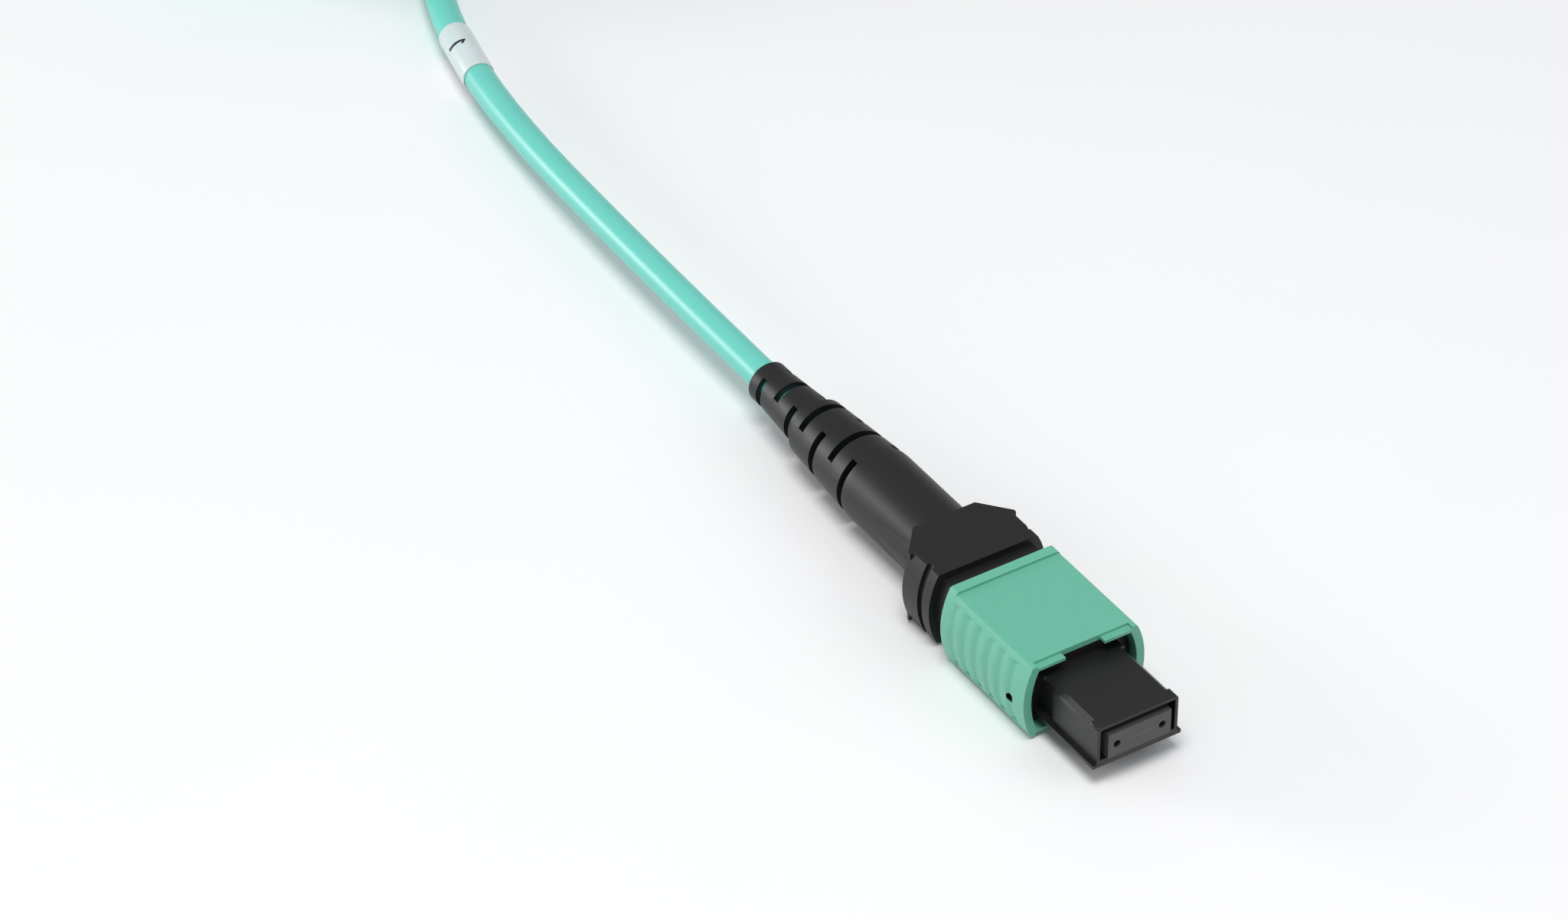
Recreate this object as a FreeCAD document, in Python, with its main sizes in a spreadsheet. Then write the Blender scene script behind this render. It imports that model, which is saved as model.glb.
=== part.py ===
import FreeCAD, Part
import math
import operator
import os
import types

import Sketcher
from FreeCAD import Placement, Rotation, Vector

# Multi-fibre push-on plug on its own 3 mm leg cord, in millimetres.
#
# Every piece of the plug is drawn in the plug's own axis frame: Y runs back along the
# axis from the ferrule's tip, X is across the row of fibres and Z is up.  The placement
# then stands the plug on its coupling sleeve, centred over the origin, mating face at -Y.
# The leg cord and what is on it are drawn straight in the standing frame.

FIBRES = 12
FIBRE_FLATS = 6
MAIN_SPRING_TURNS = 4
COUPLING_SPRING_TURNS = 5
SIDE_WAVES = 6
WAVE_TURN = 44
BAND_TURN = 60
SIDE_SLOTS = 4
TOP_SLOTS = 3
TURN_FLATS = 8

# Driving dimensions.  Each one can be set by itself.
DRIVING = {
    # ferrule, and the fibres that end in it
    "ferrule_wide": 6.4,
    "ferrule_high": 2.5,
    "ferrule_long": 8.0,
    "ferrule_flange_wide": 7.0,
    "ferrule_flange_high": 3.0,
    "ferrule_flange_long": 2.0,
    "ferrule_proud": 0.3,
    "pin_pitch": 4.6,
    "pin_radius": 0.35,
    "fibre_pitch": 0.25,
    "fibre_radius": 0.0625,
    "fibre_bore_long": 3.0,
    "ribbon_wide": 3.1,
    "ribbon_high": 0.35,
    "ribbon_tail": 1.5,
    "pocket_wide": 3.6,
    "pocket_high": 1.5,
    "window_wide": 3.0,
    "window_long": 2.2,
    "window_ahead": 0.2,
    "grommet_deep": 2.0,
    "grommet_tail": 2.5,
    # keeper behind the ferrule, and the spring behind that
    "spacer_wide": 6.9,
    "spacer_high": 2.9,
    "spacer_long": 2.0,
    "main_spring_long": 7.0,
    "main_spring_wide": 6.2,
    "main_spring_high": 3.0,
    "main_wire_radius": 0.2,
    # inner housing
    "housing_wide": 8.2,
    "housing_high": 4.2,
    "housing_corner": 0.25,
    "housing_nose": 7.8,
    "mouth_wall": 0.3,
    "mouth_deep": 1.0,
    "chamfer_back": 1.2,
    "chamfer_wide": 0.5,
    "chamber_wide": 7.2,
    "chamber_high": 3.2,
    "sole_wide": 9.0,
    "sole_high": 0.35,
    "key_wide": 3.0,
    "key_high": 0.7,
    "key_back": 1.2,
    "latch_back": 6.5,
    "latch_deep": 0.3,
    "shoulder_back": 1.0,
    "channel_back": 3.5,
    "tab_long": 1.0,
    "channel_long": 4.5,
    "channel_deep": 1.2,
    "channel_high": 1.8,
    "coupling_wire_radius": 0.09,
    "catch_back": 0.9,
    "catch_long": 1.0,
    "catch_high": 1.6,
    "catch_reach": 0.9,
    "catch_ramp": 0.6,
    "arm_thick": 0.72,
    "arm_slit": 0.3,
    "arm_root": 1.2,
    # coupling sleeve
    "sleeve_flat": 10.4,
    "sleeve_bulge": 1.0,
    "sleeve_high": 8.0,
    "sleeve_long": 12.5,
    "sleeve_wall": 0.8,
    "sleeve_gap": 2.0,
    "sleeve_edge": 0.35,
    "panel_deep": 0.25,
    "lip_long": 1.0,
    "front_drop": 0.25,
    "notch_wide": 4.0,
    "notch_deep": 0.7,
    "wave_pitch": 1.75,
    "wave_back": 2.1,
    "wave_deep": 0.14,
    "wave_floor": 0.4,
    "wave_slope": 2.0,
    "dot_radius": 0.42,
    "dot_back": 2.2,
    "dot_drop": 0.6,
    # spring push, crimp ring and yarn
    "plate_long": 1.5,
    "post_radius": 2.2,
    "post_bore": 1.6,
    "post_long": 8.5,
    "land_long": 1.2,
    "groove_long": 4.4,
    "groove_deep": 0.12,
    "yarn_thick": 0.25,
    "ring_back": 0.8,
    "ring_wall": 0.45,
    "ring_clear": 1.4,
    "neck_long": 3.6,
    # strain relief boot
    "boot_long": 35.3,
    "boot_flat": 10.2,
    "boot_high": 7.5,
    "boot_bulge": 0.95,
    "boot_flange_long": 4.1,
    "boot_edge": 0.3,
    "band_back": 1.1,
    "band_long": 0.7,
    "band_deep": 0.3,
    "wing_long": 2.7,
    "wing_high": 7.3,
    "wing_wide": 10.95,
    "wing_narrow": 3.2,
    "barrel_radius": 3.7,
    "cone_long": 18.6,
    "shoulder_radius": 2.95,
    "shoulder_ahead": 8.4,
    "tail_front_radius": 2.55,
    "tail_radius": 2.05,
    "tail_chamfer": 0.35,
    "slot_pitch": 2.6,
    "slot_ahead": 1.9,
    "slot_long": 0.8,
    "slot_flare": 1.9,
    "slot_apex": 0.3,
    # leg cord
    "cord_radius": 1.5,
    "marker_radius": 1.76,
    "marker_bore": 1.62,
    "marker_long": 9.0,
    "coil_right": 4.5,
    "coil_back": 127.0,
    "coil_middle": 12.5,
    "coil_turns_wide": 2.0,
    "coil_turns_high": 4.0,
    "tie_thick": 0.6,
    "tie_wide": 7.0,
    # clearances
    "fit": 0.1,
    "slide_fit": 0.15,
    "step_fit": 0.2,
    "fibre_fit": 0.0075,
    "spring_fit": 0.05,
    "cord_fit": 0.05,
    "bore_fit": 0.12,
}

doc = FreeCAD.newDocument("mpo_plug")
sheet = doc.addObject("Spreadsheet::Sheet", "sizes")
for row, (alias, number) in enumerate(DRIVING.items(), start=1):
    sheet.set(f"A{row}", alias)
    sheet.set(f"B{row}", str(number))
    sheet.setAlias(f"B{row}", alias)
doc.recompute()


# ------------------------------------------------------------------ sizes
class Size:
    """A size as a number, with the sheet expression that it comes from."""

    def __init__(self, text, number):
        self.text = text
        self.number = number

    def __add__(self, other):
        return combine(self, "+", other)

    def __sub__(self, other):
        return combine(self, "-", other)

    def __rsub__(self, other):
        return combine(other, "-", self)

    def __mul__(self, other):
        return combine(self, "*", other)

    def __truediv__(self, other):
        return combine(self, "/", other)

    def __neg__(self):
        return Size(f"(0 - {self.text})", -self.number)


OPERATORS = {
    "+": operator.add,
    "-": operator.sub,
    "*": operator.mul,
    "/": operator.truediv,
}


def as_size(value):
    return value if isinstance(value, Size) else Size(repr(float(value)), float(value))


def combine(left, sign, right):
    left = as_size(left)
    right = as_size(right)
    number = OPERATORS[sign](left.number, right.number)
    return Size(f"({left.text} {sign} {right.text})", number)


def root(size):
    return Size(f"sqrt({size.text})", math.sqrt(size.number))


S = types.SimpleNamespace(
    **{alias: Size(f"sizes.{alias}", sheet.get(alias)) for alias in DRIVING}
)
ZERO = as_size(0)

# Stations along the axis, measured back from the ferrule's tip.
ferrule_stop = S.ferrule_long - S.ferrule_flange_long
grommet_front = S.ferrule_long - S.grommet_deep
window_front = grommet_front - S.window_ahead - S.window_long
spacer_rear = S.ferrule_long + S.spacer_long
push_front = spacer_rear + S.main_spring_long
housing_front = S.ferrule_proud
sleeve_front = housing_front + S.housing_nose
housing_shoulder = sleeve_front + S.shoulder_back
channel_front = housing_shoulder + S.channel_back
channel_rear = channel_front + S.channel_long
catch_front = channel_rear + S.catch_back
catch_rear = catch_front + S.catch_long
sleeve_rear = sleeve_front + S.sleeve_long
boot_front = sleeve_rear + S.sleeve_gap
housing_rear = boot_front - S.plate_long
post_rear = boot_front + S.post_long
ring_front = boot_front + S.ring_back
ring_neck = post_rear + S.ring_clear
ring_rear = ring_neck + S.neck_long
cord_front = ring_neck + S.step_fit
boot_rear = boot_front + S.boot_long
barrel_rear = boot_rear - S.cone_long
boot_shoulder = boot_rear - S.shoulder_ahead

# Heights and half widths about the axis.
axis_high = S.sleeve_high / 2
sleeve_half_high = S.sleeve_high / 2
sleeve_half = S.sleeve_flat / 2 + S.sleeve_bulge
sleeve_arc = (
    sleeve_half_high * sleeve_half_high + S.sleeve_bulge * S.sleeve_bulge
) / (S.sleeve_bulge * 2)
sleeve_arc_centre = sleeve_half - sleeve_arc
yarn_radius = S.post_radius + S.yarn_thick
ring_radius = yarn_radius + S.ring_wall
neck_bore = S.cord_radius + S.cord_fit
neck_radius = neck_bore + S.ring_wall
channel_floor = sleeve_half - S.sleeve_wall - S.slide_fit - S.channel_deep
spring_room = S.channel_deep - S.spring_fit * 2
coupling_spring_x = channel_floor + S.spring_fit + spring_room / 2


# ------------------------------------------------------- sketches and features
def new_body(name):
    body = doc.addObject("PartDesign::Body", name)
    body.Label = name
    return body


def stand(piece):
    """Bring a piece from the plug's axis frame to the standing frame."""
    piece.setExpression("Placement.Base.y", (-(boot_rear / 2)).text)
    piece.setExpression("Placement.Base.z", axis_high.text)
    return piece


def sketch_on(body, name, role, offset=ZERO):
    """An empty sketch parallel to one of the body's planes, offset along its normal."""
    plane = next(item for item in body.Origin.OriginFeatures if item.Role == role)
    sketch = body.newObject("Sketcher::SketchObject", name)
    sketch.AttachmentSupport = [(plane, "")]
    sketch.MapMode = "FlatFace"
    sketch.setExpression("AttachmentOffset.Base.z", offset.text)
    return sketch


def across(body, name, at):
    """A sketch square to the axis, at a station behind the ferrule's tip."""
    return sketch_on(body, name, "XZ_Plane", -at)


def fix_point(sketch, geometry, position, point):
    for kind, size in zip(("DistanceX", "DistanceY"), point):
        rule = Sketcher.Constraint(kind, -1, 1, geometry, position, size.number)
        index = sketch.addConstraint(rule)
        sketch.setExpression(f"Constraints[{index}]", size.text)


def fix_radius(sketch, geometry, radius):
    index = sketch.addConstraint(Sketcher.Constraint("Radius", geometry, radius.number))
    sketch.setExpression(f"Constraints[{index}]", radius.text)


def convex_arc(start, end, radius):
    """The arc from start to end that bulges to the right of the way it goes."""
    chord = end - start
    half = chord.Length / 2
    rise = math.sqrt(max(radius * radius - half * half, 0))
    left = Vector(-chord.y, chord.x, 0).normalize()
    centre = (start + end) / 2 + left * rise
    first = math.atan2(start.y - centre.y, start.x - centre.x)
    last = math.atan2(end.y - centre.y, end.x - centre.x)
    if last < first:
        last += 2 * math.pi
    return Part.ArcOfCircle(Part.Circle(centre, Vector(0, 0, 1), radius), first, last)


def outline(sketch, points, arcs=None):
    """Draw a closed outline anticlockwise; arcs gives the radius of any round side."""
    arcs = arcs or {}
    points = [tuple(as_size(item) for item in point) for point in points]
    spots = [Vector(x.number, y.number, 0) for x, y in points]
    first = sketch.GeometryCount
    for side, start in enumerate(spots):
        end = spots[(side + 1) % len(spots)]
        if side in arcs:
            edge = convex_arc(start, end, arcs[side].number)
        else:
            edge = Part.LineSegment(start, end)
        sketch.addGeometry(edge, False)
    for side, point in enumerate(points):
        following = first + (side + 1) % len(points)
        sketch.addConstraint(
            Sketcher.Constraint("Coincident", first + side, 2, following, 1)
        )
        fix_point(sketch, first + side, 1, point)
        if side in arcs:
            fix_radius(sketch, first + side, arcs[side])
    return sketch


def rectangle(sketch, half_wide, low, high, middle=ZERO):
    """A rectangle centred across, from low to high."""
    left = middle - half_wide
    right = middle + half_wide
    return outline(sketch, [(left, low), (right, low), (right, high), (left, high)])


def centred(sketch, wide, high):
    return rectangle(sketch, wide / 2, -(high / 2), high / 2)


def side_pair(sketch, near, far, high):
    """Two like rectangles, one each side of the axis."""
    half = (far - near) / 2
    for middle in ((near + far) / 2, -((near + far) / 2)):
        rectangle(sketch, half, -(high / 2), high / 2, middle)
    return sketch


def top_and_bottom(sketch, wide, near, far):
    """Two like rectangles, one above the axis and one below."""
    rectangle(sketch, wide / 2, near, far)
    rectangle(sketch, wide / 2, -far, -near)
    return sketch


def circle(sketch, radius, x=ZERO, y=ZERO):
    geometry = sketch.addGeometry(
        Part.Circle(Vector(x.number, y.number, 0), Vector(0, 0, 1), radius.number), False
    )
    fix_point(sketch, geometry, 3, (x, y))
    fix_radius(sketch, geometry, radius)
    return sketch


def bulged(sketch, half_flat, half_high, radius):
    """Flat top and bottom, with sides that bulge outward on an arc."""
    corners = [
        (-half_flat, -half_high),
        (half_flat, -half_high),
        (half_flat, half_high),
        (-half_flat, half_high),
    ]
    return outline(sketch, corners, {1: radius, 3: radius})


def inside_sleeve(sketch, half_high, inset):
    """The sleeve's section drawn in by an even inset, cut off at a half height."""
    radius = sleeve_arc - inset
    half_flat = sleeve_arc_centre + root(radius * radius - half_high * half_high)
    return bulged(sketch, half_flat, half_high, radius)


def slide_section(sketch):
    """The section of what the sleeve slides over, with its sliding clearance."""
    inset = S.sleeve_wall + S.slide_fit
    return inside_sleeve(sketch, sleeve_half_high - inset, inset)


def pad(sketch, length, midplane=False):
    """Add a section, running back along the axis."""
    body = sketch.getParent()
    feature = body.newObject("PartDesign::Pad", f"{sketch.Name}_pad")
    feature.Profile = sketch
    feature.setExpression("Length", length.text)
    feature.Reversed = not midplane
    feature.Midplane = midplane
    return feature


def pocket(sketch, length, midplane=False):
    """Cut a section, running back along the axis, and see that it does cut."""
    body = sketch.getParent()
    doc.recompute()
    before = body.Shape.Volume
    feature = body.newObject("PartDesign::Pocket", f"{sketch.Name}_cut")
    feature.Profile = sketch
    feature.setExpression("Length", length.text)
    feature.Midplane = midplane
    doc.recompute()
    if body.Shape.Volume >= before:
        raise RuntimeError(f"{feature.Name} cuts nothing")
    return feature


def repeat(feature, role, length, count):
    """Repeat a feature in a row along one of the body's axes."""
    body = feature.getParent()
    axis = next(item for item in body.Origin.OriginFeatures if item.Role == role)
    pattern = body.newObject("PartDesign::LinearPattern", f"{feature.Name}_row")
    pattern.Originals = [feature]
    pattern.Direction = (axis, [""])
    pattern.setExpression("Length", length.text)
    pattern.Occurrences = count
    body.Tip = pattern
    return pattern


def mirror(feature, role="YZ_Plane"):
    """The same feature on the other side of one of the body's planes."""
    body = feature.getParent()
    plane = next(item for item in body.Origin.OriginFeatures if item.Role == role)
    mirrored = body.newObject("PartDesign::Mirrored", f"{feature.Name}_pair")
    mirrored.Originals = [feature]
    mirrored.MirrorPlane = (plane, [""])
    body.Tip = mirrored
    return mirrored


def spin(sketch, axis="V_Axis"):
    """Turn a half section about an axis of its sketch."""
    body = sketch.getParent()
    feature = body.newObject("PartDesign::Revolution", f"{sketch.Name}_turn")
    feature.Profile = sketch
    feature.ReferenceAxis = (sketch, [axis])
    feature.Angle = 360
    return feature


def groove_sides(sketch, centre, turn):
    """Cut a section turned about a line along the axis, and the same on the other side."""
    body = sketch.getParent()
    doc.recompute()
    before = body.Shape.Volume
    low = Vector(centre.number, 0, 0)
    high = Vector(centre.number, sleeve_rear.number, 0)
    line = sketch.addGeometry(Part.LineSegment(low, high), True)
    fix_point(sketch, line, 1, (centre, ZERO))
    fix_point(sketch, line, 2, (centre, sleeve_rear))
    feature = body.newObject("PartDesign::Groove", f"{sketch.Name}_cut")
    feature.Profile = sketch
    feature.ReferenceAxis = (sketch, ["Axis0"])
    feature.Midplane = True
    feature.Angle = turn
    mirror(feature)
    doc.recompute()
    if body.Shape.Volume >= before:
        raise RuntimeError(f"{feature.Name} cuts nothing")


def fillet(feature, radius, wanted):
    """Round the edges of a feature that pass the test."""
    doc.recompute()
    body = feature.getParent()
    names = [
        f"Edge{number}"
        for number, edge in enumerate(feature.Shape.Edges, start=1)
        if wanted(edge)
    ]
    rounded = body.newObject("PartDesign::Fillet", f"{feature.Name}_round")
    rounded.Base = (feature, names)
    rounded.setExpression("Radius", radius.text)
    return rounded


NEAR = 1e-6


def along_axis(edge):
    """Whether an edge is straight and runs along the axis."""
    if not isinstance(edge.Curve, Part.Line):
        return False
    return abs(abs(edge.Curve.Direction.y) - 1) < NEAR


def above(level):
    """A test for the edges along the axis that lie further up or down than a level."""
    return lambda edge: along_axis(edge) and abs(edge.CenterOfMass.z) > level.number + NEAR


# ------------------------------------------------------------------ ferrule
def fibre_row(sketch, radius):
    """A row of hair-thin bars, one for each fibre, drawn with six flats for their size."""
    for number in range(FIBRES):
        place = S.fibre_pitch * (number - (FIBRES - 1) / 2)
        corners = []
        for turn in range(FIBRE_FLATS):
            angle = 2 * math.pi * turn / FIBRE_FLATS
            corners.append((place + radius * math.cos(angle), radius * math.sin(angle)))
        outline(sketch, corners)
    return sketch


def guide_pair(sketch, radius):
    circle(sketch, radius, S.pin_pitch / 2)
    circle(sketch, radius, -(S.pin_pitch / 2))
    return sketch


def make_ferrule():
    body = new_body("mt_ferrule")
    front = centred(across(body, "ferrule_front", ZERO), S.ferrule_wide, S.ferrule_high)
    pad(front, S.ferrule_long)
    flange = across(body, "ferrule_flange", ferrule_stop)
    centred(flange, S.ferrule_flange_wide, S.ferrule_flange_high)
    pad(flange, S.ferrule_flange_long)
    pocket(guide_pair(across(body, "guide_bores", ZERO), S.pin_radius), S.ferrule_long)
    bores = fibre_row(across(body, "fibre_bores", ZERO), S.fibre_radius + S.fibre_fit)
    pocket(bores, S.fibre_bore_long)
    seat = across(body, "grommet_seat", S.fibre_bore_long)
    centred(seat, S.pocket_wide, S.pocket_high)
    pocket(seat, S.ferrule_long - S.fibre_bore_long)
    window = across(body, "glue_window", window_front)
    rectangle(window, S.window_wide / 2, ZERO, S.ferrule_high)
    pocket(window, S.window_long)
    return stand(body)


def make_epoxy():
    """The set glue that fills the window down to the fibres."""
    body = new_body("ferrule_epoxy")
    block = across(body, "glue_block", window_front + S.fit / 2)
    bottom = S.ribbon_high / 2 + S.fit / 4
    rectangle(block, S.window_wide / 2 - S.fit / 2, bottom, S.ferrule_high / 2 - S.fit / 2)
    pad(block, S.window_long - S.fit)
    return stand(body)


def make_grommet():
    """The soft boot in the back of the ferrule that guides the fibres in."""
    body = new_body("ferrule_boot")
    section = across(body, "grommet_section", grommet_front)
    centred(section, S.pocket_wide - S.fit, S.pocket_high - S.fit)
    centred(section, S.ribbon_wide + S.fit, S.ribbon_high + S.fit)
    pad(section, S.grommet_deep + S.grommet_tail)
    return stand(body)


def make_spacer():
    """The keeper that stands in for the guide pins in a plug without pins."""
    body = new_body("pin_spacer")
    plate = across(body, "spacer_plate", S.ferrule_long)
    centred(plate, S.spacer_wide, S.spacer_high)
    centred(plate, S.pocket_wide + S.fit, S.pocket_high + S.fit)
    pad(plate, S.spacer_long)
    holes = across(body, "spacer_holes", S.ferrule_long)
    guide_pair(holes, S.pin_radius + S.fit / 2)
    pocket(holes, S.spacer_long)
    return stand(body)


def make_ribbon():
    """The fibres: bare in the ferrule's bores, and a flat ribbon behind them."""
    body = new_body("fibre_ribbon")
    overlap = S.fit
    flat = across(body, "ribbon_flat", S.fibre_bore_long + overlap)
    centred(flat, S.ribbon_wide, S.ribbon_high)
    pad(flat, cord_front - S.ribbon_tail - S.fibre_bore_long - overlap)
    bare = fibre_row(across(body, "bare_fibres", ZERO), S.fibre_radius)
    pad(bare, S.fibre_bore_long + overlap * 2)
    return stand(body)


# ------------------------------------------------------------------ housing
def make_housing():
    body = new_body("inner_housing")
    nose = across(body, "nose", housing_front)
    centred(nose, S.housing_wide, S.housing_high)
    nose_pad = pad(nose, housing_shoulder - housing_front + S.channel_back)
    fillet(nose_pad, S.housing_corner, along_axis)
    bottom = -(S.housing_high / 2)
    sole = across(body, "sole", housing_front)
    rectangle(sole, S.sole_wide / 2, bottom, bottom + S.sole_high)
    pad(sole, housing_shoulder - housing_front + S.channel_back)
    rear = slide_section(across(body, "sleeve_guide", housing_shoulder))
    pad(rear, housing_rear - housing_shoulder)
    key = across(body, "key", housing_front + S.key_back)
    rectangle(key, S.key_wide / 2, bottom - S.key_high, bottom + S.key_high)
    pad(key, housing_shoulder - housing_front - S.key_back)
    add_nose_chamfers(body)
    mouth = across(body, "mouth", housing_front)
    mouth_low = -(S.ferrule_high / 2) - S.slide_fit
    mouth_top = S.housing_high / 2 - S.mouth_wall
    rectangle(mouth, S.housing_wide / 2 - S.mouth_wall, mouth_low, mouth_top)
    pocket(mouth, S.mouth_deep)
    guide = across(body, "ferrule_guide", housing_front + S.mouth_deep)
    centred(guide, S.ferrule_wide + S.slide_fit * 2, S.ferrule_high + S.slide_fit * 2)
    pocket(guide, ferrule_stop - housing_front - S.mouth_deep)
    chamber = across(body, "chamber", ferrule_stop)
    centred(chamber, S.chamber_wide, S.chamber_high)
    pocket(chamber, housing_rear - ferrule_stop)
    latch = across(body, "latch_grooves", housing_front + S.latch_back)
    outer = S.housing_wide / 2
    latch_low = bottom + S.sole_high
    rectangle(latch, S.latch_deep, latch_low, -latch_low + S.fit, outer)
    rectangle(latch, S.latch_deep, latch_low, -latch_low + S.fit, -outer)
    pocket(latch, housing_shoulder - housing_front - S.latch_back)
    channel = across(body, "spring_channels", channel_front)
    side_pair(channel, channel_floor, sleeve_half, S.channel_high)
    pocket(channel, S.channel_long)
    catch = across(body, "catch_windows", catch_front - S.slide_fit)
    side_pair(catch, S.chamber_wide / 2 - S.fit, sleeve_half, S.catch_high + S.slide_fit * 2)
    pocket(catch, S.catch_long + S.slide_fit * 2)
    return stand(body)


def add_nose_chamfers(body):
    """A long flat on each upper edge of the nose, which stops short of its front."""
    chamfer = across(body, "nose_chamfer", housing_front + S.chamfer_back)
    side = S.housing_wide / 2 + S.fit
    top = S.housing_high / 2 + S.fit
    reach = S.chamfer_wide + S.fit * 2
    outline(chamfer, [(side - reach, top), (side, top - reach), (side, top)])
    mirror(pocket(chamfer, S.housing_nose - S.chamfer_back))


# ------------------------------------------------------------------ sleeve
def make_sleeve():
    body = new_body("coupling_sleeve")
    panel_level = sleeve_half_high - S.panel_deep
    shell = inside_sleeve(across(body, "shell", sleeve_front), panel_level, ZERO)
    fillet(pad(shell, S.sleeve_long - S.lip_long), S.sleeve_edge, along_axis)
    lip = across(body, "rear_lip", sleeve_rear - S.lip_long)
    bulged(lip, S.sleeve_flat / 2, sleeve_half_high, sleeve_arc)
    fillet(pad(lip, S.lip_long), S.sleeve_edge, above(panel_level))
    hollow = across(body, "hollow", sleeve_front)
    inside_sleeve(hollow, sleeve_half_high - S.sleeve_wall, S.sleeve_wall)
    pocket(hollow, S.sleeve_long)
    tongue = across(body, "front_tongues", sleeve_front)
    tongue_wide = S.sleeve_flat - S.sleeve_edge * 2
    top_and_bottom(tongue, tongue_wide, panel_level - S.front_drop, sleeve_half_high)
    pocket(tongue, S.notch_deep)
    notch = across(body, "notches", sleeve_front)
    notch_floor = sleeve_half_high - S.sleeve_wall - S.fit
    top_and_bottom(notch, S.notch_wide, notch_floor, sleeve_half_high + S.fit)
    pocket(notch, S.notch_deep)
    add_waves(body)
    tabs = across(body, "tabs", channel_front)
    tab_inner = channel_floor + S.slide_fit
    tab_outer = sleeve_half - S.sleeve_wall / 2
    side_pair(tabs, tab_inner, tab_outer, S.channel_high - S.slide_fit * 2)
    pad(tabs, S.tab_long)
    dot = sketch_on(body, "dots", "YZ_Plane")
    circle(dot, S.dot_radius, sleeve_front + S.dot_back, -S.dot_drop)
    pocket(dot, sleeve_half * 2 + S.fit, midplane=True)
    return stand(body)


def add_waves(body):
    """Shallow grip waves round the bulge of each side, turned about the side's own arc."""
    waves = sketch_on(body, "waves", "XY_Plane")
    floor = sleeve_half - S.wave_deep
    outside = sleeve_half + S.wave_deep
    near = S.wave_floor / 2
    far = near + S.wave_deep * 2 * S.wave_slope
    for number in range(SIDE_WAVES):
        station = sleeve_front + S.wave_back + S.wave_pitch * number
        outline(
            waves,
            [
                (floor, station - near),
                (outside, station - far),
                (outside, station + far),
                (floor, station + near),
            ],
        )
    groove_sides(waves, sleeve_arc_centre, WAVE_TURN)


# --------------------------------------------------- spring push and crimp
def make_push():
    body = new_body("spring_push")
    core_wide = S.chamber_wide - S.fit * 2
    core_high = S.chamber_high - S.fit * 2
    core = centred(across(body, "core", push_front), core_wide, core_high)
    pad(core, housing_rear - push_front)
    pad(slide_section(across(body, "plate", housing_rear)), S.plate_long)
    pad(circle(across(body, "post", boot_front), S.post_radius), S.post_long)
    add_catches(body, core_wide / 2)
    passage = across(body, "passage", push_front)
    centred(passage, S.pocket_wide - S.fit, S.pocket_high - S.fit)
    pocket(passage, boot_front - push_front)
    bore = circle(across(body, "post_bore", boot_front), S.post_bore)
    pocket(bore, S.post_long)
    relief = across(body, "arm_reliefs", push_front)
    arm_inner = core_wide / 2 - S.arm_thick
    side_pair(relief, arm_inner - S.arm_slit, arm_inner, S.chamber_high)
    pocket(relief, catch_rear - push_front + S.arm_root)
    groove = across(body, "post_groove", ring_front + S.land_long)
    circle(groove, S.post_radius - S.groove_deep)
    circle(groove, S.post_radius + S.fit)
    pocket(groove, S.groove_long)
    return stand(body)


def add_catches(body, arm_face):
    """Sloped hooks on the two arms that snap into the housing's windows."""
    catch = sketch_on(body, "catch", "XY_Plane")
    tip = arm_face + S.catch_reach
    outline(
        catch,
        [
            (arm_face - S.fit * 2, catch_front),
            (arm_face, catch_front),
            (tip, catch_front + S.catch_ramp),
            (tip, catch_rear),
            (arm_face - S.fit * 2, catch_rear),
        ],
    )
    mirror(pad(catch, S.catch_high, midplane=True))


def make_ring():
    """Stepped crimp ring: wide over the yarn on the post, narrow over the jacket."""
    body = new_body("crimp_ring")
    half = sketch_on(body, "ring_half", "XY_Plane")
    outline(
        half,
        [
            (yarn_radius, ring_front),
            (ring_radius, ring_front),
            (ring_radius, ring_neck),
            (neck_radius, ring_neck),
            (neck_radius, ring_rear),
            (neck_bore, ring_rear),
            (neck_bore, ring_neck - S.ring_wall),
            (yarn_radius, ring_neck - S.ring_wall),
        ],
    )
    spin(half)
    return stand(body)


def make_yarn():
    """The cord's strength yarn, folded back over the post and held by the ring."""
    body = new_body("aramid_yarn")
    half = sketch_on(body, "yarn_half", "XY_Plane")
    inner = S.post_radius + S.fibre_fit
    outer = yarn_radius - S.fibre_fit
    front = ring_front - S.fit * 2
    outline(half, [(inner, front), (outer, front), (outer, post_rear), (inner, post_rear)])
    spin(half)
    return stand(body)


# ------------------------------------------------------------------ boot
def make_boot():
    body = new_body("strain_boot")
    add_boot_outside(body)
    cut_bands(body)
    bore_step = ring_neck + S.step_fit
    ring_room = circle(across(body, "ring_room", boot_front), ring_radius + S.slide_fit)
    pocket(ring_room, bore_step - boot_front)
    neck_room = circle(across(body, "neck_room", bore_step), neck_radius + S.slide_fit)
    pocket(neck_room, ring_rear + S.step_fit - bore_step)
    cord_room = circle(across(body, "cord_room", bore_step), S.cord_radius + S.bore_fit)
    pocket(cord_room, boot_rear - bore_step)
    add_boot_slots(body)
    return stand(body)


def cut_bands(body):
    """A groove round the bulge of each side of the flange; its flat faces stay whole."""
    band = sketch_on(body, "bands", "XY_Plane")
    face = S.boot_flat / 2 + S.boot_bulge
    front = boot_front + S.band_back
    rectangle(band, S.band_deep, front, front + S.band_long, face)
    groove_sides(band, face - boot_arc(), BAND_TURN)


def boot_arc():
    """Radius of the arc that the boot's flange bulges on."""
    half_high = S.boot_high / 2
    return (half_high * half_high + S.boot_bulge * S.boot_bulge) / (S.boot_bulge * 2)


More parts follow.
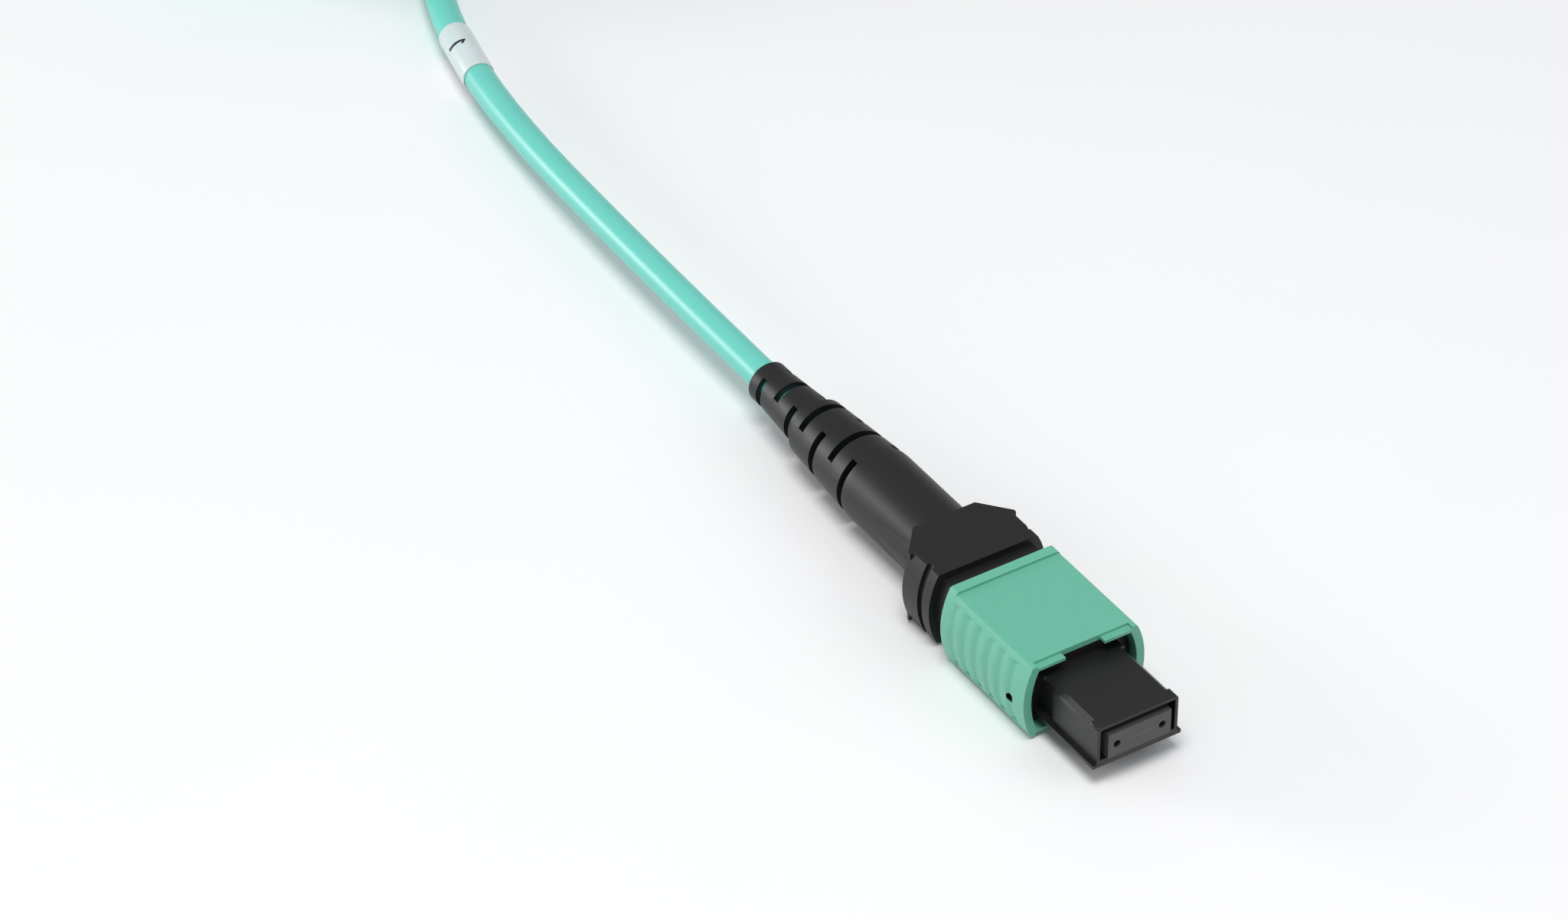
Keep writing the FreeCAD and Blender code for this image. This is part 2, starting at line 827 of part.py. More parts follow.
def add_boot_outside(body):
    """Flange, wings and barrel, then the cone that steps down to the tail."""
    flange = across(body, "flange", boot_front)
    bulged(flange, S.boot_flat / 2, S.boot_high / 2, boot_arc())
    fillet(pad(flange, S.boot_flange_long), S.boot_edge, along_axis)
    wings = sketch_on(body, "wings", "XY_Plane")
    wing_front = boot_front + S.boot_flange_long
    wing_half = S.wing_wide / 2
    barrel_front = wing_front - S.boot_edge
    outline(
        wings,
        [
            (-wing_half, barrel_front),
            (wing_half, barrel_front),
            (wing_half, wing_front),
            (S.wing_narrow, wing_front + S.wing_long),
            (-S.wing_narrow, wing_front + S.wing_long),
            (-wing_half, wing_front),
        ],
    )
    pad(wings, S.wing_high, midplane=True)
    half = sketch_on(body, "barrel_half", "XY_Plane")
    outline(
        half,
        [
            (ZERO, barrel_front),
            (S.barrel_radius, barrel_front),
            (S.barrel_radius, barrel_rear),
            (S.shoulder_radius, boot_shoulder),
            (S.tail_front_radius, boot_shoulder),
            (S.tail_radius, boot_rear - S.slot_ahead),
            (S.tail_radius, boot_rear - S.tail_chamfer),
            (S.tail_radius - S.tail_chamfer, boot_rear),
            (ZERO, boot_rear),
        ],
    )
    spin(half)


def add_boot_slots(body):
    """Flex slots through the wall, by turns on the sides and above and below."""
    reach = S.barrel_radius + S.slot_pitch
    rise = reach - S.slot_apex
    spread = rise * S.slot_flare
    first = boot_rear - S.slot_ahead - S.slot_long / 2
    step = S.slot_pitch * 2
    sides = across(body, "side_slots", first - step * (SIDE_SLOTS - 1))
    for sign in (1, -1):
        tip = S.slot_apex * sign
        far = reach * sign
        outline(sides, [(tip, ZERO), (far, spread * -sign), (far, spread * sign)])
    repeat(pocket(sides, S.slot_long), "Y_Axis", step * (SIDE_SLOTS - 1), SIDE_SLOTS)
    tops = across(body, "top_slots", first - S.slot_pitch - step * (TOP_SLOTS - 1))
    for sign in (1, -1):
        tip = S.slot_apex * sign
        far = reach * sign
        outline(tops, [(ZERO, tip), (spread * sign, far), (spread * -sign, far)])
    repeat(pocket(tops, S.slot_long), "Y_Axis", step * (TOP_SLOTS - 1), TOP_SLOTS)


# ------------------------------------------------------------------ springs
def add_shape(name, shape, placement=None):
    piece = doc.addObject("Part::Feature", name)
    piece.Label = name
    piece.Shape = shape
    piece.Placement = placement or Placement()
    return piece


def coil_spring(length, turns, half_wide, half_high, wire):
    """An open coil of square wire along Z, oval where its two half sizes differ.

    The wire goes round in short straight runs, mitred where they meet, and it may
    have a part turn, to the nearest run.
    """
    runs = round(turns * TURN_FLATS)
    rise = (length - wire * 2) / runs
    corners = []
    for run in range(runs + 1):
        angle = 2 * math.pi * run / TURN_FLATS
        across_x = (half_wide - wire) * math.cos(angle)
        across_y = (half_high - wire) * math.sin(angle)
        corners.append(Vector(across_x, across_y, wire + rise * run))
    start = corners[0]
    heading = (corners[1] - start).normalize()
    outward = heading.cross(Vector(0, 0, 1)).normalize() * (wire / math.sqrt(2))
    upward = heading.cross(outward)
    section = [
        start + outward + upward,
        start - outward + upward,
        start - outward - upward,
        start + outward - upward,
        start + outward + upward,
    ]
    return Part.makePolygon(corners).makePipeShell([Part.makePolygon(section)], True, False, 1)


def lying_back(x, station):
    """Lay a piece drawn upright back along the axis, from a station."""
    place = Vector(x, station - boot_rear.number / 2, axis_high.number)
    return Placement(place, Rotation(Vector(1, 0, 0), -90))


def make_main_spring():
    clear = S.spring_fit.number
    shape = coil_spring(
        S.main_spring_long.number - clear * 2,
        MAIN_SPRING_TURNS,
        S.main_spring_wide.number / 2,
        S.main_spring_high.number / 2,
        S.main_wire_radius.number,
    )
    return add_shape("main_spring", shape, lying_back(0, spacer_rear.number + clear))


def make_coupling_spring(name, side):
    clear = S.spring_fit.number
    front = channel_front.number + S.tab_long.number + clear
    half = spring_room.number / 2
    shape = coil_spring(
        channel_rear.number - clear - front,
        COUPLING_SPRING_TURNS,
        half,
        half,
        S.coupling_wire_radius.number,
    )
    return add_shape(name, shape, lying_back(side * coupling_spring_x.number, front))


# ------------------------------------------------------------------ leg cord
ARC_SHARE = 0.45


def rounded_path(points):
    """Straight runs joined by tangent arcs, each as large as its two runs allow."""
    edges = []
    radii = []
    last = points[0]
    for before, corner, after in zip(points, points[1:], points[2:]):
        inward = (before - corner).normalize()
        outward = (after - corner).normalize()
        half_turn = (math.pi - inward.getAngle(outward)) / 2
        trim = ARC_SHARE * min((before - corner).Length, (after - corner).Length)
        radius = trim / math.tan(half_turn)
        start = corner + inward * trim
        end = corner + outward * trim
        bisector = (inward + outward).normalize()
        middle = corner + bisector * (radius / math.cos(half_turn) - radius)
        edges.append(Part.LineSegment(last, start).toShape())
        edges.append(Part.Arc(start, middle, end).toShape())
        radii.append(radius)
        last = end
    edges.append(Part.LineSegment(last, points[-1]).toShape())
    return edges, radii


def tube(edges, radius):
    """A round bar swept along a run of joined edges."""
    start = edges[0].valueAt(edges[0].FirstParameter)
    heading = edges[0].tangentAt(edges[0].FirstParameter)
    section = Part.Wire([Part.makeCircle(radius, start, heading)])
    return Part.Wire(edges).makePipeShell([section], True, False)


# The cord leaves the boot level, comes down to the surface, swings towards +X and
# meets the coil of put-away length.  The points are where it lies, chosen by hand.
cord_start = Vector(0, cord_front.number - boot_rear.number / 2, axis_high.number)
CORD_ROUTE = [
    cord_start,
    Vector(0, 44, axis_high.number),
    Vector(3, 90, 2.1),
    Vector(14.2, 114.7, 2.2),
]
cord_edges, cord_radii = rounded_path(CORD_ROUTE)
print("cord arc radii:", [round(radius, 1) for radius in cord_radii])


def make_cord_lead():
    radius = S.cord_radius.number
    shape = tube(cord_edges, radius)
    length = sum(edge.Length for edge in cord_edges)
    print("cord lead length:", round(length, 2))
    print("cord volume over section by length:",
          round(shape.Volume / (math.pi * radius * radius * length), 5))
    return add_shape("cord_lead", shape)


def make_marker():
    """The marker sleeve, a short stiff tube threaded on the cord, at its last bend."""
    arc = [edge for edge in cord_edges if isinstance(edge.Curve, Part.Circle)][-1]
    middle = (arc.FirstParameter + arc.LastParameter) / 2
    heading = arc.tangentAt(middle)
    bow = S.marker_long.number ** 2 / (8 * arc.Curve.Radius)
    outward = (arc.valueAt(middle) - arc.Curve.Center).normalize()
    centre = arc.valueAt(middle) - outward * (bow / 2)
    start = centre - heading * (S.marker_long.number / 2)
    long = S.marker_long.number
    outside = Part.makeCylinder(S.marker_radius.number, long, start, heading)
    inside = Part.makeCylinder(S.marker_bore.number, long, start, heading)
    return add_shape("marker_sleeve", outside.cut(inside))


def at_coil(piece):
    piece.setExpression("Placement.Base.x", S.coil_right.text)
    piece.setExpression("Placement.Base.y", S.coil_back.text)
    return piece


coil_half_wide = S.cord_radius * S.coil_turns_wide
coil_bottom = S.tie_thick + S.fit
coil_top = coil_bottom + S.cord_radius * 2 * S.coil_turns_high
coil_inner = S.coil_middle - coil_half_wide
coil_outer = S.coil_middle + coil_half_wide


def make_coil():
    """The outer shape of the coiled cord, as one solid."""
    body = new_body("cord_coil")
    section = sketch_on(body, "coil_section", "XZ_Plane")
    rectangle(section, coil_half_wide, coil_bottom, coil_top, S.coil_middle)
    spin(section)
    return at_coil(body)


def make_tie():
    """The strap round the turns on one side of the coil."""
    body = new_body("cord_tie")
    loop = sketch_on(body, "tie_loop", "XZ_Plane")
    low = coil_bottom - S.fit / 2
    high = coil_top + S.fit / 2
    half = S.tie_wide / 2
    inner = root(coil_inner * coil_inner - half * half) - S.fit / 2
    outer = coil_outer + S.fit / 2
    middle = (inner + outer) / 2
    half_wide = (outer - inner) / 2
    rectangle(loop, half_wide + S.tie_thick, low - S.tie_thick, high + S.tie_thick, middle)
    rectangle(loop, half_wide, low, high, middle)
    pad(loop, S.tie_wide, midplane=True)
    return at_coil(body)


# ------------------------------------------------------------------ build
PIECES = [
    make_sleeve(),
    make_housing(),
    make_coupling_spring("coupling_spring_left", -1),
    make_coupling_spring("coupling_spring_right", 1),
    make_ferrule(),
    make_epoxy(),
    make_grommet(),
    make_spacer(),
    make_ribbon(),
    make_main_spring(),
    make_push(),
    make_ring(),
    make_yarn(),
    make_boot(),
    make_cord_lead(),
    make_marker(),
    make_coil(),
    make_tie(),
]
doc.recompute()

for item in doc.Objects:
    if "Invalid" in item.State or "Error" in item.State:
        raise RuntimeError(f"{item.Name} failed: {item.State}")
for piece in PIECES:
    if piece.Shape.isNull() or not piece.Shape.isValid():
        raise RuntimeError(f"{piece.Label} has no valid shape")

os.makedirs("parts", exist_ok=True)
for piece in PIECES:
    piece.Shape.exportStep(f"parts/{piece.Label}.step")
print("pieces:", len(PIECES))
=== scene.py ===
import math

import bmesh
import bpy
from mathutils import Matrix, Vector


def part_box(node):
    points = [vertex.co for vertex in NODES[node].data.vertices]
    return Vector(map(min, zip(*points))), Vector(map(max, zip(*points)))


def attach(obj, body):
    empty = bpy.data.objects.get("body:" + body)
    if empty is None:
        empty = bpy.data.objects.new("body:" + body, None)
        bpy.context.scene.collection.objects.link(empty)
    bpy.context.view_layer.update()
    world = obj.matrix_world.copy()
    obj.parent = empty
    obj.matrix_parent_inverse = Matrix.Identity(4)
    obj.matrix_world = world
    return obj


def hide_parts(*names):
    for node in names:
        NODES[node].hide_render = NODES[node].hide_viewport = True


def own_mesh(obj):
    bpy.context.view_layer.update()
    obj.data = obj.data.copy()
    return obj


# The looks of a flat multi-fibre plug and of the coiled leg cord behind it.
# Lengths are in metres in the part's own frame: +Y back along the plug, +Z up.

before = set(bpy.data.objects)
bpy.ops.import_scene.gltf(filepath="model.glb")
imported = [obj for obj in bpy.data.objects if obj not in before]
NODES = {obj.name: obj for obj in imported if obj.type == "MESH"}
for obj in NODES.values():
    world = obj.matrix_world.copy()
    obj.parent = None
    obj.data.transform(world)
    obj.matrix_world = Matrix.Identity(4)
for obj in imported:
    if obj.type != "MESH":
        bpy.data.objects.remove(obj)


def save_size():
    """Update the view layer, before and after the looks are added."""
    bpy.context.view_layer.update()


save_size()

# ------------------------------------------------------------------ materials
AQUA_SLEEVE = (0.132, 0.450, 0.325)
AQUA_CORD = (0.145, 0.585, 0.505)
CHARCOAL = (0.0070, 0.0067, 0.0074)
FERRULE_GREY = (0.055, 0.051, 0.055)


NOISE_DETAIL = 4
GRAIN_STRENGTH = 0.6


def surface(name, color, roughness, grain, scale, mottle, **extra):
    """A procedural finish: a base colour with a faint mottle, and a fine moulded grain.

    grain is the height of the grain in metres, scale is how many grains go to a metre,
    mottle is the share that the colour changes by, and extra names other shader inputs.
    """
    material = bpy.data.materials.new(name)
    material.use_nodes = True
    tree = material.node_tree
    shader = tree.nodes["Principled BSDF"]
    shader.inputs["Base Color"].default_value = (*color, 1)
    shader.inputs["Roughness"].default_value = roughness
    for socket, value in extra.items():
        shader.inputs[socket.replace("_", " ")].default_value = value
    place = tree.nodes.new("ShaderNodeTexCoord")
    noise = tree.nodes.new("ShaderNodeTexNoise")
    noise.inputs["Scale"].default_value = scale
    noise.inputs["Detail"].default_value = NOISE_DETAIL
    tree.links.new(place.outputs["Object"], noise.inputs["Vector"])
    if mottle:
        mix = tree.nodes.new("ShaderNodeMix")
        mix.data_type = "RGBA"
        darker = [part * (1 - mottle) for part in color]
        lighter = [min(1, part * (1 + mottle)) for part in color]
        mix.inputs["A"].default_value = (*darker, 1)
        mix.inputs["B"].default_value = (*lighter, 1)
        tree.links.new(noise.outputs["Fac"], mix.inputs["Factor"])
        tree.links.new(mix.outputs["Result"], shader.inputs["Base Color"])
    if grain:
        bump = tree.nodes.new("ShaderNodeBump")
        bump.inputs["Strength"].default_value = GRAIN_STRENGTH
        bump.inputs["Distance"].default_value = grain
        tree.links.new(noise.outputs["Fac"], bump.inputs["Height"])
        tree.links.new(bump.outputs["Normal"], shader.inputs["Normal"])
    return material


sleeve_finish = surface(
    "sleeve_aqua", AQUA_SLEEVE, 0.42, 4e-6, 5000, 0.06, Subsurface_Weight=0.12,
    Subsurface_Scale=0.0008,
)
black_finish = surface(
    "plastic_black", CHARCOAL, 0.42, 5e-6, 6000, 0.2, Specular_IOR_Level=0.5,
)
boot_finish = surface("boot_black", CHARCOAL, 0.48, 6e-6, 5000, 0.2, Specular_IOR_Level=0.45)
ferrule_finish = surface("ferrule_grey", FERRULE_GREY, 0.36, 2e-6, 9000, 0.15)
glue_finish = surface("glue", (0.35, 0.22, 0.08), 0.2, 1e-6, 3000, 0.1)
grommet_finish = surface("soft_grommet", (0.02, 0.02, 0.02), 0.6, 3e-6, 5000, 0.1)
fibre_finish = surface("fibre_glass", (0.16, 0.16, 0.17), 0.15, 0, 3000, 0.05)
steel_finish = surface("spring_steel", (0.55, 0.55, 0.53), 0.28, 1e-6, 5000, 0.1, Metallic=1.0)
ring_finish = surface("ring_metal", (0.75, 0.75, 0.74), 0.32, 2e-6, 4000, 0.05, Metallic=1.0)
yarn_finish = surface("yarn", (0.72, 0.58, 0.16), 0.7, 2e-5, 6000, 0.25)
cord_finish = surface(
    "jacket_aqua", AQUA_CORD, 0.36, 3e-6, 2500, 0.05, Subsurface_Weight=0.15,
    Subsurface_Scale=0.001,
)
marker_finish = surface(
    "marker_clear", (0.86, 0.88, 0.87), 0.30, 2e-6, 3000, 0.03, Transmission_Weight=0.25,
    Subsurface_Weight=0.3, Subsurface_Scale=0.001,
)
strap_finish = surface("strap", (0.02, 0.02, 0.02), 0.85, 4e-5, 7000, 0.3)

NODE_FINISH = {
    "coupling_sleeve": sleeve_finish,
    "inner_housing": black_finish,
    "coupling_spring_left": steel_finish,
    "coupling_spring_right": steel_finish,
    "mt_ferrule": ferrule_finish,
    "ferrule_epoxy": glue_finish,
    "ferrule_boot": grommet_finish,
    "pin_spacer": black_finish,
    "fibre_ribbon": fibre_finish,
    "main_spring": steel_finish,
    "spring_push": black_finish,
    "crimp_ring": ring_finish,
    "aramid_yarn": yarn_finish,
    "strain_boot": boot_finish,
    "cord_lead": cord_finish,
    "marker_sleeve": marker_finish,
    "cord_coil": cord_finish,
    "cord_tie": strap_finish,
}


def wear(piece, material):
    """Give a piece one material and no other."""
    piece.data.materials.clear()
    piece.data.materials.append(material)


WELD_REACH = 1e-6
SHARP_ANGLE = math.radians(32)
EDGE_SEGMENTS = 2


def soften(piece, width):
    """Moulded edges: join the mesh's seams, then round every edge sharper than the angle."""
    weld = piece.modifiers.new("weld", "WELD")
    weld.merge_threshold = WELD_REACH
    bevel = piece.modifiers.new("edges", "BEVEL")
    bevel.width = width
    bevel.segments = EDGE_SEGMENTS
    bevel.limit_method = "ANGLE"
    bevel.angle_limit = SHARP_ANGLE
    bevel.miter_outer = "MITER_ARC"
    bevel.harden_normals = True
    bevel.use_clamp_overlap = True
    even = piece.modifiers.new("even", "WEIGHTED_NORMAL")
    even.keep_sharp = True
    even.use_face_influence = False


for name, node in NODES.items():
    wear(node, NODE_FINISH[name])
    node.data.shade_smooth()

# Round holes through the sleeve's sides; their walls get painted shade, charcoal for the dark
# inside each hole.
DOT_BACK = 0.0022
DOT_DROP = 0.0006
DOT_SHADE_RADIUS = 0.00044


def shade_dot_holes(material, node):
    """Paint shade on the wall of the round hole through each side of the sleeve: painted
    charcoal that stands in for the dark inside the hole.
    """
    low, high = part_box("coupling_sleeve")
    spot = Vector((0, low.y + DOT_BACK, (low.z + high.z) / 2 - DOT_DROP))
    spot = node.matrix_world.inverted() @ spot
    tree = material.node_tree
    shader = tree.nodes["Principled BSDF"]
    base = shader.inputs["Base Color"].links[0].from_socket
    place = tree.nodes.new("ShaderNodeTexCoord")
    flat = tree.nodes.new("ShaderNodeVectorMath")
    flat.operation = "MULTIPLY"
    flat.inputs[1].default_value = (0, 1, 1)
    tree.links.new(place.outputs["Object"], flat.inputs[0])
    away = tree.nodes.new("ShaderNodeVectorMath")
    away.operation = "DISTANCE"
    away.inputs[1].default_value = (0, spot.y, spot.z)
    tree.links.new(flat.outputs["Vector"], away.inputs[0])
    # Mask of the painted shade: points closer than the hole's radius to its axis.
    hole_shade_mask = tree.nodes.new("ShaderNodeMath")
    hole_shade_mask.operation = "LESS_THAN"
    hole_shade_mask.inputs[1].default_value = DOT_SHADE_RADIUS
    tree.links.new(away.outputs["Value"], hole_shade_mask.inputs[0])
    mix = tree.nodes.new("ShaderNodeMix")
    mix.data_type = "RGBA"
    mix.inputs["B"].default_value = (*CHARCOAL, 1)
    tree.links.new(hole_shade_mask.outputs["Value"], mix.inputs["Factor"])
    tree.links.new(base, mix.inputs["A"])
    tree.links.new(mix.outputs["Result"], shader.inputs["Base Color"])


# Painted shade on the walls of the sleeve's dot holes.
shade_dot_holes(sleeve_finish, NODES["coupling_sleeve"])


def add_piece(name, data):
    """Put a new object into the scene."""
    piece = bpy.data.objects.new(name, data)
    bpy.context.scene.collection.objects.link(piece)
    return piece


def evened(name, body):
    """The same form as a node, with the long triangles of its curved sides laid straight."""
    node = NODES[name]
    shape = bmesh.new()
    shape.from_mesh(node.data)
    bmesh.ops.beautify_fill(shape, faces=shape.faces, edges=shape.edges, method="ANGLE")
    mesh = bpy.data.meshes.new(name + "_form")
    shape.to_mesh(mesh)
    shape.free()
    if "custom_normal" in mesh.attributes:
        mesh.attributes.remove(mesh.attributes["custom_normal"])
    mesh.shade_smooth()
    piece = add_piece(name + "_form", mesh)
    piece.matrix_world = node.matrix_world.copy()
    wear(piece, NODE_FINISH[name])
    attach(piece, body)
    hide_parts(name)
    return piece


EDGE_WIDTHS = {
    "coupling_sleeve": 9e-5,
    "inner_housing": 7e-5,
    "strain_boot": 9e-5,
    "cord_tie": 1.2e-4,
}
FORMS = {
    "coupling_sleeve": evened("coupling_sleeve", "sleeve"),
    "strain_boot": evened("strain_boot", "housing"),
}
for name, width in EDGE_WIDTHS.items():
    soften(FORMS.get(name, NODES[name]), width)

# ------------------------------------------------------------------ leg cord
CORD_RADIUS = 0.0015
CORD_ROUNDNESS = 6
CORD_PIECES = 10
MEASURE_PIECES = 40
ROUTE = [
    (0.0, 0.00375, 0.004),
    (0.0, 0.044, 0.004),
    (0.003, 0.090, 0.0021),
    (0.0142, 0.1147, 0.0022),
]
COIL_CENTRE = Vector((0.0045, 0.127, 0.0))
OUTER_TURN = 0.014
TURN_STEP = 0.003
LOW_LAYER = 0.0022
POINTS_A_TURN = 16
TURNS = 6.2
JOIN_ANGLE = math.radians(-24.6)
# Where the cord steps inward, outward and up a layer, as (begin, end) in turns.
STEPS_IN = [(0.70, 0.90), (3.70, 3.90)]
STEPS_OUT = [(2.20, 2.40), (5.20, 5.40)]
STEPS_UP = [(1.45, 1.65), (3.00, 3.18), (4.45, 4.65)]


def eased(turn, begin, end):
    """0 before begin, 1 after end, and smooth between."""
    share = min(1.0, max(0.0, (turn - begin) / (end - begin)))
    return share * share * (3 - 2 * share)


def coil_point(turn):
    """Where the cord lies a number of turns after it joins the coil."""
    inward = sum(eased(turn, *step) for step in STEPS_IN)
    outward = sum(eased(turn, *step) for step in STEPS_OUT)
    layers = sum(eased(turn, *step) for step in STEPS_UP)
    radius = OUTER_TURN - TURN_STEP * (inward - outward)
    height = LOW_LAYER + TURN_STEP * layers
    reach = radius / math.cos(math.pi / POINTS_A_TURN)
    angle = JOIN_ANGLE + 2 * math.pi * turn
    return COIL_CENTRE + Vector((reach * math.cos(angle), reach * math.sin(angle), height))


def nurbs(name, points, radius, roundness, pieces):
    """A round bar along a NURBS line of order three that follows a run of control points.

    roundness is the bevel's resolution and pieces is the steps between two points.
    """
    data = bpy.data.curves.new(name, "CURVE")
    data.dimensions = "3D"
    data.bevel_depth = radius
    data.bevel_resolution = roundness
    data.resolution_u = pieces
    data.use_fill_caps = True
    line = data.splines.new("NURBS")
    line.points.add(len(points) - 1)
    for point, place in zip(line.points, points):
        point.co = (*place, 1)
    line.order_u = 3
    line.use_endpoint_u = True
    line.resolution_u = pieces
    line.use_smooth = True
    return add_piece(name, data)


cord_points = [Vector(place) for place in ROUTE]
for step in range(int(POINTS_A_TURN * TURNS) + 1):
    cord_points.append(coil_point(step / POINTS_A_TURN))
leg_cord = nurbs("leg_cord", cord_points, CORD_RADIUS, CORD_ROUNDNESS, CORD_PIECES)
wear(leg_cord, cord_finish)


def centre_line(piece):
    """Points along a cord's own smooth line, which is the cord with no thickness."""
    thin = add_piece("thin", piece.data.copy())
    thin.data.bevel_depth = 0
    thin.data.resolution_u = MEASURE_PIECES
    thin.data.splines[0].resolution_u = MEASURE_PIECES
    drawn = thin.evaluated_get(bpy.context.evaluated_depsgraph_get())
    mesh = bpy.data.meshes.new_from_object(drawn)
    line = [point.co.copy() for point in mesh.vertices]
    bpy.data.objects.remove(thin)
    bpy.data.meshes.remove(mesh)
    return line


# ------------------------------------------------------------------ springs
SPRING_END = 0.7
SPRING_POINTS = 16
SPRING_ROUNDNESS = 3
SPRING_PIECES = 3
MAIN_TURNS = 4
MAIN_WIRE = 0.00018
COUPLING_TURNS = 5
COUPLING_WIRE = 0.000085


def spring(node, turns, wire):
    """A coil of round wire with closed ends, spanning its node's box."""
    low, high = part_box(node)
    middle = (low + high) / 2
    half = (high - low) / 2 - Vector((wire, wire, wire))
    path = []
    for step in range(turns * SPRING_POINTS + 1):
        turn = step / SPRING_POINTS
        angle = 2 * math.pi * turn
        rise = min(1.0, max(0.0, (turn - SPRING_END) / (turns - 2 * SPRING_END)))
        along = half.y * (2 * rise - 1)
        spot = Vector((half.x * math.cos(angle), along, half.z * math.sin(angle)))
        path.append(middle + spot)
    drawn = nurbs(node + "_wire", path, wire, SPRING_ROUNDNESS, SPRING_PIECES)
    shape = drawn.evaluated_get(bpy.context.evaluated_depsgraph_get())
    piece = add_piece(node + "_coil", bpy.data.meshes.new_from_object(shape))
    bpy.data.objects.remove(drawn)
    wear(piece, steel_finish)
    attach(piece, "housing")
    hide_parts(node)
    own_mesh(piece)


spring("main_spring", MAIN_TURNS, MAIN_WIRE)
spring("coupling_spring_left", COUPLING_TURNS, COUPLING_WIRE)
spring("coupling_spring_right", COUPLING_TURNS, COUPLING_WIRE)

# ------------------------------------------------------------------ marker
MARKER_HALF = 0.0045
MARKER_SIDES = 48
MARKER_PROFILE = [
    (0.0, 0.00151), (0.0, 0.00158), (0.012, 0.00163), (0.03, 0.00165),
    (0.97, 0.00165), (0.988, 0.00163), (1.0, 0.00158), (1.0, 0.00151),
]


def closed_mesh(name, shape):
    """Turn a closed form's faces outward and make it a piece of the scene."""
    bmesh.ops.recalc_face_normals(shape, faces=shape.faces)
    mesh = bpy.data.meshes.new(name)
    shape.to_mesh(mesh)
    shape.free()
    return add_piece(name, mesh)


def ring_mesh(name, line, profile):
    """A turned sleeve that follows a line: profile gives (share along, radius) pairs."""
    shape = bmesh.new()
    loops = []
    for share, radius in profile:
        at = share * (len(line) - 1)
        index = min(int(at), len(line) - 2)
        spot = line[index].lerp(line[index + 1], at - index)
        heading = (line[index + 1] - line[index]).normalized()
        side = heading.cross(Vector((0, 0, 1))).normalized()
        up = side.cross(heading)
        loop = []
        for number in range(MARKER_SIDES):
            angle = 2 * math.pi * number / MARKER_SIDES
            around = side * math.cos(angle) + up * math.sin(angle)
            loop.append(shape.verts.new(spot + around * radius))
        loops.append(loop)
    for first, second in zip(loops, loops[1:] + loops[:1]):
        for number in range(MARKER_SIDES):
            after = (number + 1) % MARKER_SIDES
            shape.faces.new((first[number], first[after], second[after], second[number]))
    piece = closed_mesh(name, shape)
    piece.data.shade_smooth()
    return piece


marker_low, marker_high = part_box("marker_sleeve")
marker_middle = (marker_low + marker_high) / 2
cord_line = centre_line(leg_cord)
near = [spot for spot in cord_line if (spot - marker_middle).length < MARKER_HALF]
marker = ring_mesh("marker", near, MARKER_PROFILE)
wear(marker, marker_finish)

# ------------------------------------------------------------------ printed digit
# Strokes of a plain figure 1, as (along, around) corners on the marker.
DIGIT_STEM = [(-0.00013, -0.0010), (0.00013, -0.0010), (0.00013, 0.0010), (-0.00013, 0.0010)]
DIGIT_FLAG = [(-0.00055, 0.0006), (-0.00042, 0.00045), (-0.00005, 0.0007), (-0.00005, 0.0010)]
DIGIT_RADII = (0.00160, 0.00167)
DIGIT_SLICES = 12
DIGIT_FACING = Vector((-0.5, 0, 0.866))


def digit_mesh(name, line, strokes):
    """A printed figure wrapped on the marker, its corners blended between its ends."""
    middle = line[len(line) // 2]
    heading = (line[-1] - line[0]).normalized()
    outward = (DIGIT_FACING - heading * DIGIT_FACING.dot(heading)).normalized()
    aside = heading.cross(outward)
    shape = bmesh.new()
    for stroke in strokes:
        rows = []
        for number in range(DIGIT_SLICES + 1):
            share = number / DIGIT_SLICES
            ends = [
                [a + (b - a) * share for a, b in zip(first, last)]
                for first, last in ((stroke[0], stroke[3]), (stroke[1], stroke[2]))
            ]
            row = []
            for radius in DIGIT_RADII:
                for along, around in ends:
                    angle = around / DIGIT_RADII[1]
                    spot = outward * math.cos(angle) + aside * math.sin(angle)
                    row.append(shape.verts.new(middle + heading * along + spot * radius))
            rows.append((row[0], row[1], row[3], row[2]))
        for first, second in zip(rows, rows[1:]):
            for corner in range(4):
                after = (corner + 1) % 4
                shape.faces.new((first[corner], first[after], second[after], second[corner]))
        shape.faces.new(rows[0])
        shape.faces.new(rows[-1])
    return closed_mesh(name, shape)


digit = digit_mesh("marker_digit", near, [DIGIT_STEM, DIGIT_FLAG])
wear(digit, black_finish)

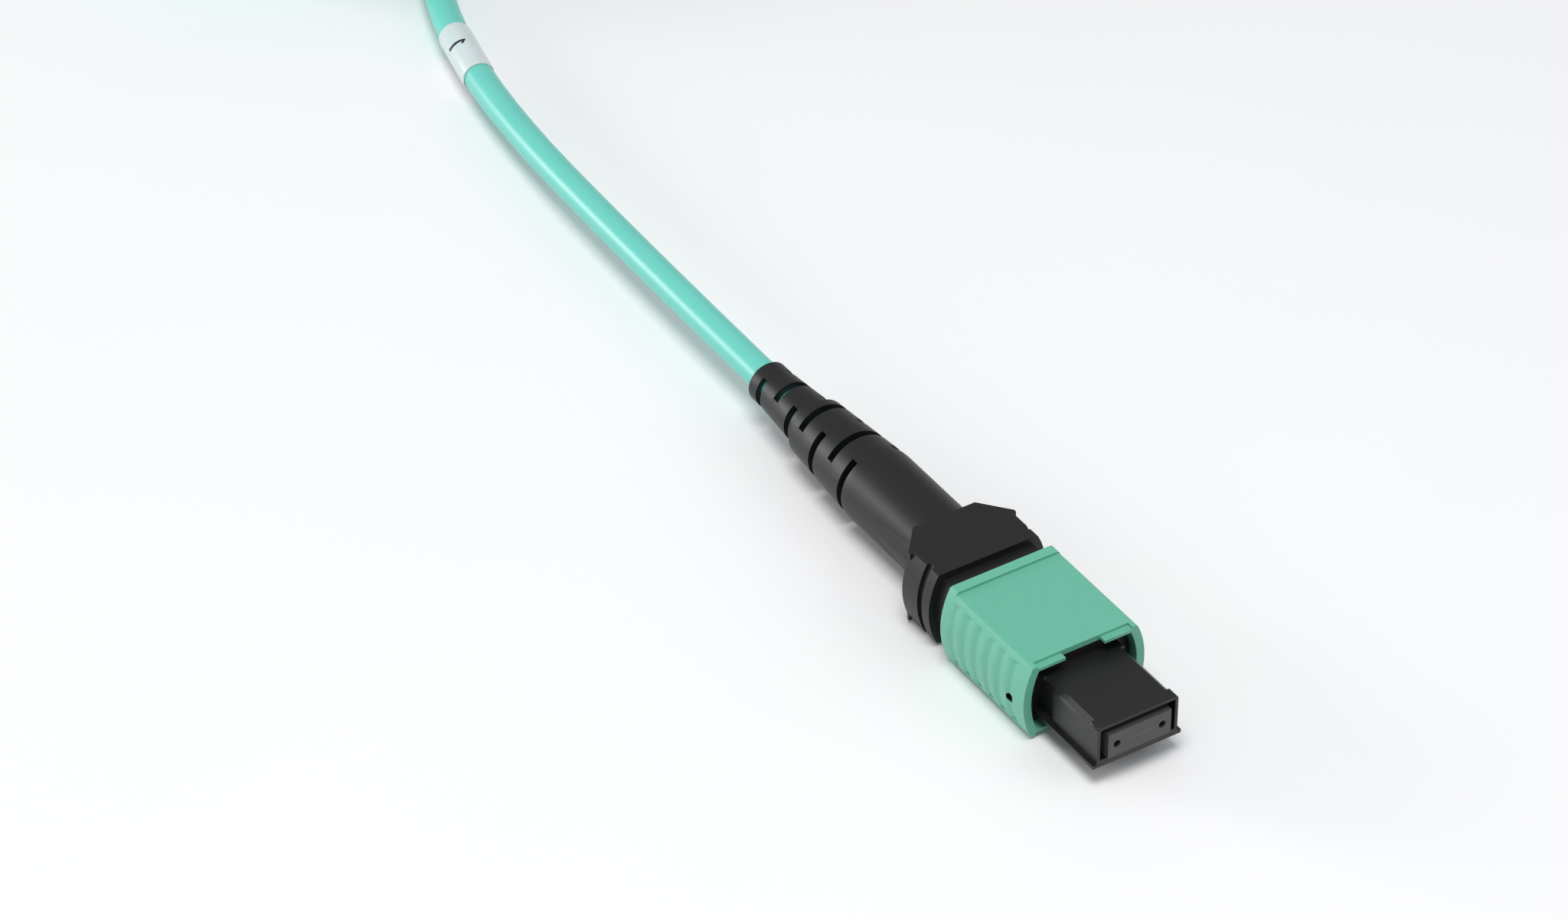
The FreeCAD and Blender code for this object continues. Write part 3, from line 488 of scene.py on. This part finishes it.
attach(leg_cord, "housing")
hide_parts("cord_lead", "cord_coil")
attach(marker, "housing")
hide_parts("marker_sleeve")
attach(digit, "housing")

# ------------------------------------------------------------------ stage
FLOOR_REACH = 3.0
FLOOR_LEVEL = -5e-5
FLOOR_GREY = (0.90, 0.90, 0.90)
floor_mesh = bpy.data.meshes.new("floor")
corners = [(-1, -1), (1, -1), (1, 1), (-1, 1)]
floor_corners = [(FLOOR_REACH * x, FLOOR_REACH * y, 0) for x, y in corners]
floor_mesh.from_pydata(floor_corners, [], [(0, 1, 2, 3)])
floor = add_piece("floor", floor_mesh)
floor.location.z = FLOOR_LEVEL
wear(floor, surface("floor", FLOOR_GREY, 0.6, 0, 40, 0.01))


def turn_to(direction):
    """The rotation that points a lamp or a camera along a direction."""
    return direction.to_track_quat("-Z", "Y").to_euler()


def lamp(name, place, aim, size, watts):
    """A round lamp of a given width that shines at the aim."""
    data = bpy.data.lights.new(name, "AREA")
    data.shape = "DISK"
    data.size = size
    data.energy = watts
    piece = add_piece(name, data)
    piece.location = place
    piece.rotation_euler = turn_to(Vector(aim) - Vector(place))


AIM = (-0.0049, 0.0183, 0.004)
lamp("key", (-0.10, -0.10, 0.55), AIM, 0.30, 2.0)
lamp("side", (-0.38, 0.50, 0.12), AIM, 0.22, 1.6)
lamp("fill", (0.35, -0.35, 0.35), AIM, 0.40, 0.4)

SKY = (0.95, 0.97, 1.0)
SKY_STRENGTH = 0.42
world = bpy.data.worlds.new("studio")
bpy.context.scene.world = world
world.use_nodes = True
background = world.node_tree.nodes["Background"]
background.inputs["Color"].default_value = (*SKY, 1)
background.inputs["Strength"].default_value = SKY_STRENGTH

# ------------------------------------------------------------------ camera
BACK = Vector((-0.4255, -0.6631, 0.6155)).normalized()
DISTANCE = 0.55
LENS = 143.5
camera_data = bpy.data.cameras.new("camera")
camera_data.lens = LENS
camera_data.clip_start = 0.01
camera = add_piece("camera", camera_data)
camera.location = Vector(AIM) + BACK * DISTANCE
camera.rotation_euler = turn_to(-BACK)
bpy.context.scene.camera = camera
bpy.context.scene.view_settings.view_transform = "Standard"

save_size()
